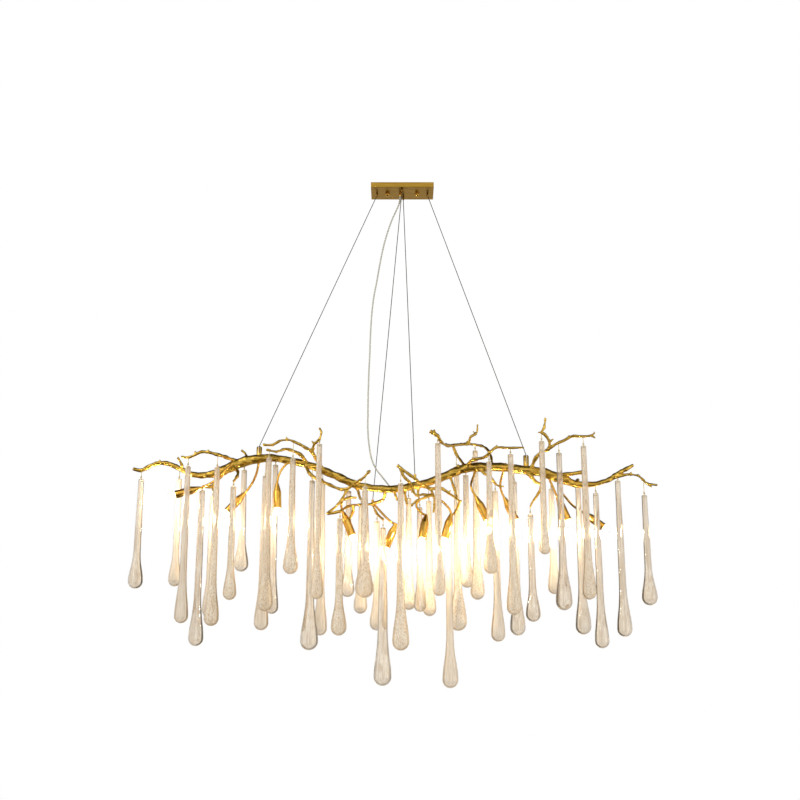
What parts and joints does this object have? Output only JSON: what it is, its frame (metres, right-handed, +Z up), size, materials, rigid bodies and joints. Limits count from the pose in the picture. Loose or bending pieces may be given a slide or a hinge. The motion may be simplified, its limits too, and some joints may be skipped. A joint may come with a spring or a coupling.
{
  "type": "branch chandelier",
  "caption": "Long linear chandelier: a gilt branch with twigs, hung on steel wires, carries bent arms with lamp cups and hanging glass teardrops.",
  "frame": {"origin": "on the ceiling, at the middle of the ceiling bracket's top face", "axes": "+Z up, +X to the right along the branch, -Y towards the viewer"},
  "size_m": [1.5023, 0.227, 1.487],
  "materials": {
    "gilt_brass": "cast brass, gilt, with soft highlights",
    "polished_brass": "polished and lacquered",
    "canopy_gold": "brushed",
    "zinc_steel": "zinc plated",
    "steel_wire": "stranded wire",
    "steel_hook": "bright drawn wire",
    "white_nylon": "moulded",
    "clear_cord": "clear flexible sheath",
    "ceramic": "glazed ceramic",
    "lamp_glass": "lit capsule",
    "blown_glass": "hand-drawn glass with seed bubbles"
  },
  "bodies": {
    "frame": {"ceiling_bracket": "zinc_steel", "bracket_studs": "zinc_steel", "canopy_cover": "canopy_gold", "cap_nuts": "polished_brass", "terminal_block": "white_nylon", "wire_grips": "polished_brass", "cord_grip": "polished_brass", "suspension_wires": "steel_wire", "power_cord": "clear_cord", "wire_posts": "polished_brass", "main_branch": "gilt_brass", "twigs": "gilt_brass", "lamp_arms": "gilt_brass", "lamp_cups": "polished_brass", "lamp_holders": "ceramic", "lamp_capsules": "lamp_glass", "drop_hangers": "steel_hook"},
    "drop_01": {"drop_01": "blown_glass"},
    "drop_02": {"drop_02": "blown_glass"},
    "drop_03": {"drop_03": "blown_glass"},
    "drop_04": {"drop_04": "blown_glass"},
    "drop_05": {"drop_05": "blown_glass"},
    "drop_06": {"drop_06": "blown_glass"},
    "drop_07": {"drop_07": "blown_glass"},
    "drop_08": {"drop_08": "blown_glass"},
    "drop_09": {"drop_09": "blown_glass"},
    "drop_10": {"drop_10": "blown_glass"},
    "drop_11": {"drop_11": "blown_glass"},
    "drop_12": {"drop_12": "blown_glass"},
    "drop_13": {"drop_13": "blown_glass"},
    "drop_14": {"drop_14": "blown_glass"},
    "drop_15": {"drop_15": "blown_glass"},
    "drop_16": {"drop_16": "blown_glass"},
    "drop_17": {"drop_17": "blown_glass"},
    "drop_18": {"drop_18": "blown_glass"},
    "drop_19": {"drop_19": "blown_glass"},
    "drop_20": {"drop_20": "blown_glass"},
    "drop_21": {"drop_21": "blown_glass"},
    "drop_22": {"drop_22": "blown_glass"},
    "drop_23": {"drop_23": "blown_glass"},
    "drop_24": {"drop_24": "blown_glass"},
    "drop_25": {"drop_25": "blown_glass"},
    "drop_26": {"drop_26": "blown_glass"},
    "drop_27": {"drop_27": "blown_glass"},
    "drop_28": {"drop_28": "blown_glass"},
    "drop_29": {"drop_29": "blown_glass"},
    "drop_30": {"drop_30": "blown_glass"},
    "drop_31": {"drop_31": "blown_glass"},
    "drop_32": {"drop_32": "blown_glass"},
    "drop_33": {"drop_33": "blown_glass"},
    "drop_34": {"drop_34": "blown_glass"},
    "drop_35": {"drop_35": "blown_glass"},
    "drop_36": {"drop_36": "blown_glass"},
    "drop_37": {"drop_37": "blown_glass"},
    "drop_38": {"drop_38": "blown_glass"},
    "drop_39": {"drop_39": "blown_glass"},
    "drop_40": {"drop_40": "blown_glass"},
    "drop_41": {"drop_41": "blown_glass"},
    "drop_42": {"drop_42": "blown_glass"},
    "drop_43": {"drop_43": "blown_glass"}
  },
  "joints": [
    {"name": "drop_01_swing", "type": "hinge", "parent": "frame", "child": "drop_01", "pos_m": [-0.747, 0, -0.91267], "axis": [0, 1, 0], "range_deg": [-12, 12]},
    {"name": "drop_02_swing", "type": "hinge", "parent": "frame", "child": "drop_02", "pos_m": [-0.649, 0.06, -0.89963], "axis": [0, 1, 0], "range_deg": [-12, 12]},
    {"name": "drop_03_swing", "type": "hinge", "parent": "frame", "child": "drop_03", "pos_m": [-0.604, -0.06, -0.888], "axis": [0, 1, 0], "range_deg": [-5.5, 12]},
    {"name": "drop_04_swing", "type": "hinge", "parent": "frame", "child": "drop_04", "pos_m": [-0.571, 0, -0.945], "axis": [0, 1, 0], "range_deg": [-12, 12]},
    {"name": "drop_05_swing", "type": "hinge", "parent": "frame", "child": "drop_05", "pos_m": [-0.522, -0.057, -0.8901], "axis": [0, 1, 0], "range_deg": [-2, 5.5]},
    {"name": "drop_06_swing", "type": "hinge", "parent": "frame", "child": "drop_06", "pos_m": [-0.549, 0.06, -0.95], "axis": [0, 1, 0], "range_deg": [-12, 12]},
    {"name": "drop_07_swing", "type": "hinge", "parent": "frame", "child": "drop_07", "pos_m": [-0.4741, -0.0588, -0.9451], "axis": [0, 1, 0], "range_deg": [-11.5, 2.5]},
    {"name": "drop_08_swing", "type": "hinge", "parent": "frame", "child": "drop_08", "pos_m": [-0.461, 0.06, -0.87287], "axis": [0, 1, 0], "range_deg": [-12, 12]},
    {"name": "drop_09_swing", "type": "hinge", "parent": "frame", "child": "drop_09", "pos_m": [-0.392, 0, -0.90224], "axis": [0, 1, 0], "range_deg": [-9.5, 12]},
    {"name": "drop_10_swing", "type": "hinge", "parent": "frame", "child": "drop_10", "pos_m": [-0.3763, -0.06, -0.8618], "axis": [0, 1, 0], "range_deg": [-6, 8.5]},
    {"name": "drop_11_swing", "type": "hinge", "parent": "frame", "child": "drop_11", "pos_m": [-0.37, 0.06, -0.85712], "axis": [0, 1, 0], "range_deg": [-12, 11.5]},
    {"name": "drop_12_swing", "type": "hinge", "parent": "frame", "child": "drop_12", "pos_m": [-0.30898, -0.06, -0.86448], "axis": [0, 1, 0], "range_deg": [-7.5, 6.5]},
    {"name": "drop_13_swing", "type": "hinge", "parent": "frame", "child": "drop_13", "pos_m": [-0.258, 0, -0.91628], "axis": [0, 1, 0], "range_deg": [-12, 12]},
    {"name": "drop_14_swing", "type": "hinge", "parent": "frame", "child": "drop_14", "pos_m": [-0.235, -0.06, -0.823], "axis": [0, 1, 0], "range_deg": [-4, 6.5]},
    {"name": "drop_15_swing", "type": "hinge", "parent": "frame", "child": "drop_15", "pos_m": [-0.232, 0.06, -0.90689], "axis": [0, 1, 0], "range_deg": [-8, 12]},
    {"name": "drop_16_swing", "type": "hinge", "parent": "frame", "child": "drop_16", "pos_m": [-0.174, -0.06, -1.036], "axis": [0, 1, 0], "range_deg": [-9, 8.5]},
    {"name": "drop_17_swing", "type": "hinge", "parent": "frame", "child": "drop_17", "pos_m": [-0.156, 0.06, -0.93488], "axis": [0, 1, 0], "range_deg": [-10.5, 9]},
    {"name": "drop_18_swing", "type": "hinge", "parent": "frame", "child": "drop_18", "pos_m": [-0.105, -0.06, -0.945], "axis": [0, 1, 0], "range_deg": [-12, 6.5]},
    {"name": "drop_19_swing", "type": "hinge", "parent": "frame", "child": "drop_19", "pos_m": [-0.121, 0.12, -0.961], "axis": [0, 1, 0], "range_deg": [-12, 12]},
    {"name": "drop_20_swing", "type": "hinge", "parent": "frame", "child": "drop_20", "pos_m": [-0.073, 0.06, -1.023], "axis": [0, 1, 0], "range_deg": [-4, 12]},
    {"name": "drop_21_swing", "type": "hinge", "parent": "frame", "child": "drop_21", "pos_m": [-0.055, 0, -1.052], "axis": [0, 1, 0], "range_deg": [-12, 12]},
    {"name": "drop_22_swing", "type": "hinge", "parent": "frame", "child": "drop_22", "pos_m": [-0.005, -0.06, -0.936], "axis": [0, 1, 0], "range_deg": [-12, 11.5]},
    {"name": "drop_23_swing", "type": "hinge", "parent": "frame", "child": "drop_23", "pos_m": [0.018, 0.06, -0.95581], "axis": [0, 1, 0], "range_deg": [-12, 11]},
    {"name": "drop_24_swing", "type": "hinge", "parent": "frame", "child": "drop_24", "pos_m": [0.049, 0, -0.994], "axis": [0, 1, 0], "range_deg": [-11, 12]},
    {"name": "drop_25_swing", "type": "hinge", "parent": "frame", "child": "drop_25", "pos_m": [0.078, 0.12, -0.95281], "axis": [0, 1, 0], "range_deg": [-12, 12]},
    {"name": "drop_26_swing", "type": "hinge", "parent": "frame", "child": "drop_26", "pos_m": [0.1, -0.06, -0.82], "axis": [0, 1, 0], "range_deg": [-12, 5.5]},
    {"name": "drop_27_swing", "type": "hinge", "parent": "frame", "child": "drop_27", "pos_m": [0.157, 0.048, -0.865], "axis": [0, 1, 0], "range_deg": [-12, 12]},
    {"name": "drop_28_swing", "type": "hinge", "parent": "frame", "child": "drop_28", "pos_m": [0.131, 0, -1.058], "axis": [0, 1, 0], "range_deg": [-8.5, 12]},
    {"name": "drop_29_swing", "type": "hinge", "parent": "frame", "child": "drop_29", "pos_m": [0.181, 0, -0.89993], "axis": [0, 1, 0], "range_deg": [-10.5, 4]},
    {"name": "drop_30_swing", "type": "hinge", "parent": "frame", "child": "drop_30", "pos_m": [0.217, 0.12, -0.801], "axis": [0, 1, 0], "range_deg": [-12, 12]},
    {"name": "drop_31_swing", "type": "hinge", "parent": "frame", "child": "drop_31", "pos_m": [0.244, -0.05796, -0.8736], "axis": [0, 1, 0], "range_deg": [-5.5, 12]},
    {"name": "drop_32_swing", "type": "hinge", "parent": "frame", "child": "drop_32", "pos_m": [0.2645, -0.0006, -0.9472], "axis": [0, 1, 0], "range_deg": [-9.5, 12]},
    {"name": "drop_33_swing", "type": "hinge", "parent": "frame", "child": "drop_33", "pos_m": [0.305, -0.06, -0.853], "axis": [0, 1, 0], "range_deg": [-12, 5]},
    {"name": "drop_34_swing", "type": "hinge", "parent": "frame", "child": "drop_34", "pos_m": [0.325, 0.06, -0.90728], "axis": [0, 1, 0], "range_deg": [-12, 12]},
    {"name": "drop_35_swing", "type": "hinge", "parent": "frame", "child": "drop_35", "pos_m": [0.363, 0, -1.014], "axis": [0, 1, 0], "range_deg": [-12, 12]},
    {"name": "drop_36_swing", "type": "hinge", "parent": "frame", "child": "drop_36", "pos_m": [0.394, -0.06, -0.815], "axis": [0, 1, 0], "range_deg": [-3.5, 11.5]},
    {"name": "drop_37_swing", "type": "hinge", "parent": "frame", "child": "drop_37", "pos_m": [0.432, 0.06, -0.92852], "axis": [0, 1, 0], "range_deg": [-9.5, 12]},
    {"name": "drop_38_swing", "type": "hinge", "parent": "frame", "child": "drop_38", "pos_m": [0.442, -0.06, -0.849], "axis": [0, 1, 0], "range_deg": [-4, 4]},
    {"name": "drop_39_swing", "type": "hinge", "parent": "frame", "child": "drop_39", "pos_m": [0.512, -0.06, -0.829], "axis": [0, 1, 0], "range_deg": [-12, 3.5]},
    {"name": "drop_40_swing", "type": "hinge", "parent": "frame", "child": "drop_40", "pos_m": [0.51, 0.06, -0.91431], "axis": [0, 1, 0], "range_deg": [-12, 9]},
    {"name": "drop_41_swing", "type": "hinge", "parent": "frame", "child": "drop_41", "pos_m": [0.551, 0, -0.953], "axis": [0, 1, 0], "range_deg": [-3.5, 12]},
    {"name": "drop_42_swing", "type": "hinge", "parent": "frame", "child": "drop_42", "pos_m": [0.615, 0, -0.917], "axis": [0, 1, 0], "range_deg": [-6.5, 3]},
    {"name": "drop_43_swing", "type": "hinge", "parent": "frame", "child": "drop_43", "pos_m": [0.689, 0, -0.959], "axis": [0, 1, 0], "range_deg": [-12, 8]}
  ]
}
